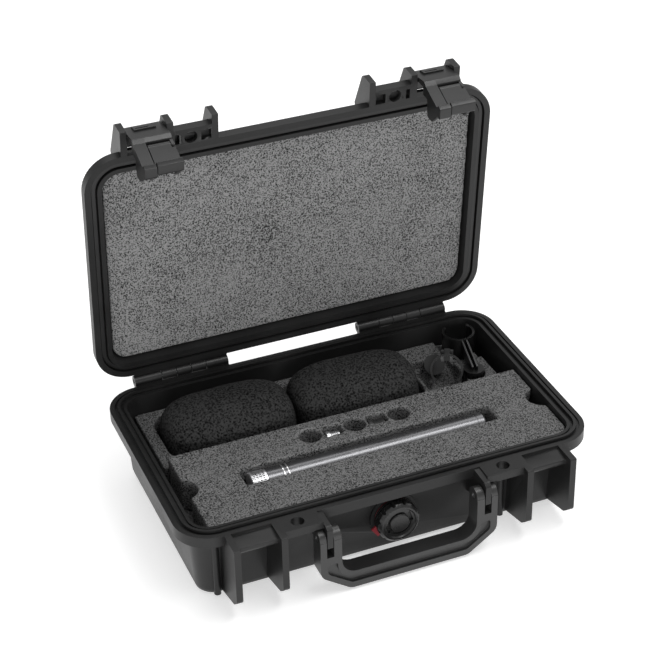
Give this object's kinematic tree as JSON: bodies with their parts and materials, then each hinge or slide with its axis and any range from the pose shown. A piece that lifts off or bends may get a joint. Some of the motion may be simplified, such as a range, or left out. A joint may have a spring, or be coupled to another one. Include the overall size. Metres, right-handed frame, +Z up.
{
  "type": "microphone carrying case",
  "caption": "Small hard moulded case with a hinged lid, draw latches, a folding handle and a purge valve, with cut foam that holds a pencil microphone and its accessories.",
  "frame": {"origin": "centre of the underside of the base, under the middle of the rim's outline", "axes": "+X to the right seen from the front, +Y to the back (hinge side), +Z up"},
  "size_m": [0.296, 0.2324, 0.2664],
  "materials": {
    "case_shell": "moulded, fine matt texture",
    "latch_plastic": "satin moulded",
    "handle_plastic": "satin moulded",
    "seal_rubber": "smooth",
    "steel_pin": "ground",
    "valve_plastic": "satin",
    "valve_seal_red": "smooth",
    "foam_grey": "open-cell foam, cut faces",
    "foam_base": "open-cell foam, cut faces",
    "screen_foam": "coarse open-cell foam",
    "mic_black": "satin black",
    "mic_silver": "perforated grille",
    "mic_ring": "bright rings",
    "connector_black": "matt",
    "clip_black": "satin",
    "adapter_silver": "satin",
    "adapter_black": "satin black"
  },
  "bodies": {
    "base": {"base_shell": "case_shell", "base_floor": "case_shell", "base_plates": "case_shell", "foam_base": "foam_base", "handle_pins": "steel_pin", "hinge_pins": "steel_pin", "valve_body": "valve_plastic", "valve_seal": "valve_seal_red"},
    "lid": {"lid_shell": "case_shell", "lid_top": "case_shell", "lid_plates": "case_shell", "lid_gasket": "seal_rubber", "lid_pad": "foam_grey", "latch_pins": "steel_pin"},
    "latch_left": {"latch_body_left": "latch_plastic", "lever_pin_left": "steel_pin"},
    "lever_left": {"latch_lever_left": "latch_plastic"},
    "latch_right": {"latch_body_right": "latch_plastic", "lever_pin_right": "steel_pin"},
    "lever_right": {"latch_lever_right": "latch_plastic"},
    "handle": {"handle": "handle_plastic"},
    "valve_knob": {"valve_knob": "valve_plastic"},
    "tray": {"foam_tray": "foam_grey"},
    "microphone": {"mic_body": "mic_black", "mic_grille": "mic_silver", "mic_rings": "mic_ring", "mic_connector": "connector_black"},
    "windscreen_left": {"windscreen_left": "screen_foam"},
    "windscreen_right": {"windscreen_right": "screen_foam"},
    "clip_front": {"clip_front_ring": "clip_black", "clip_front_socket": "clip_black"},
    "clip_rear": {"clip_rear_ring": "clip_black", "clip_rear_socket": "clip_black"},
    "adapter_silver": {"adapter_silver": "adapter_silver"},
    "adapter_black": {"adapter_black": "adapter_black"}
  },
  "joints": [
    {"name": "lid_hinge", "type": "hinge", "parent": "base", "child": "lid", "pos_m": [0, 0.0976, 0.0588], "axis": [-1, 0, 0], "range_deg": [-84.5, 0]},
    {"name": "latch_left_pivot", "type": "hinge", "parent": "lid", "child": "latch_left", "pos_m": [-0.1035, 0.08573, 0.25718], "axis": [-1, 0, 0], "range_deg": [0, 100]},
    {"name": "lever_left_pivot", "type": "hinge", "parent": "latch_left", "child": "lever_left", "pos_m": [-0.1035, 0.06258, 0.25766], "axis": [-1, 0, 0], "range_deg": [0, 60]},
    {"name": "latch_right_pivot", "type": "hinge", "parent": "lid", "child": "latch_right", "pos_m": [0.1035, 0.08573, 0.25718], "axis": [-1, 0, 0], "range_deg": [0, 100]},
    {"name": "lever_right_pivot", "type": "hinge", "parent": "latch_right", "child": "lever_right", "pos_m": [0.1035, 0.06258, 0.25766], "axis": [-1, 0, 0], "range_deg": [0, 60]},
    {"name": "handle_pivot", "type": "hinge", "parent": "base", "child": "handle", "pos_m": [0, -0.1035, 0.0453], "axis": [-1, 0, 0], "range_deg": [0, 95]},
    {"name": "valve_turn", "type": "hinge", "parent": "base", "child": "valve_knob", "pos_m": [0, -0.0865, 0.03], "axis": [0, -1, 0], "range_deg": [0, 90]},
    {"name": "tray_lift", "type": "slide", "parent": "base", "child": "tray", "axis": [0, 0, 1], "range_m": [0, 0.06]},
    {"name": "microphone_lift", "type": "slide", "parent": "tray", "child": "microphone", "axis": [0, 0, 1], "range_m": [0, 0.035]},
    {"name": "adapter_silver_lift", "type": "slide", "parent": "tray", "child": "adapter_silver", "axis": [0, 0, 1], "range_m": [0, 0.03]},
    {"name": "adapter_black_lift", "type": "slide", "parent": "tray", "child": "adapter_black", "axis": [0, 0, 1], "range_m": [0, 0.03]},
    {"name": "windscreen_left_lift", "type": "slide", "parent": "base", "child": "windscreen_left", "axis": [0, 0, 1], "range_m": [0, 0.07]},
    {"name": "windscreen_right_lift", "type": "slide", "parent": "base", "child": "windscreen_right", "axis": [0, 0, 1], "range_m": [0, 0.07]},
    {"name": "clip_front_lift", "type": "slide", "parent": "base", "child": "clip_front", "axis": [0, 0, 1], "range_m": [0, 0.04]},
    {"name": "clip_rear_lift", "type": "slide", "parent": "base", "child": "clip_rear", "axis": [0, 0, 1], "range_m": [0, 0.05]}
  ]
}
